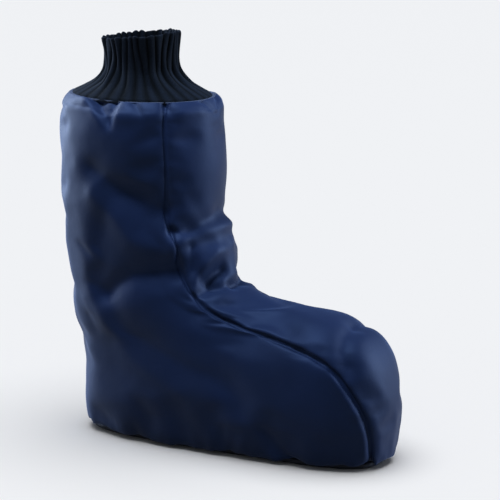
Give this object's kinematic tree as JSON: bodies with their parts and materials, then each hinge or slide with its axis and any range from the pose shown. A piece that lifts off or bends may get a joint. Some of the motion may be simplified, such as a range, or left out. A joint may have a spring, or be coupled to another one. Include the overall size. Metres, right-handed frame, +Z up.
{
  "type": "insulated padded boot",
  "caption": "Tall soft padded fabric boot with a front strip over instep and toe, a flat soft sole and a narrow ribbed knit cuff.",
  "frame": {"origin": "on the floor under the sole, halfway along the foot, in the plane that the boot's two sides mirror each other in", "axes": "+X from heel to toe, +Z up the shaft, +Y across the foot"},
  "size_m": [0.3349, 0.1202, 0.3734],
  "materials": {
    "navy_satin": "satin",
    "dark_sole_cloth": "matte",
    "footbed_felt": "matte",
    "dark_rib_knit": "matte"
  },
  "bodies": {
    "root": {"upper": "navy_satin", "sole": "dark_sole_cloth", "insole": "footbed_felt", "cuff": "dark_rib_knit"}
  },
  "joints": []
}
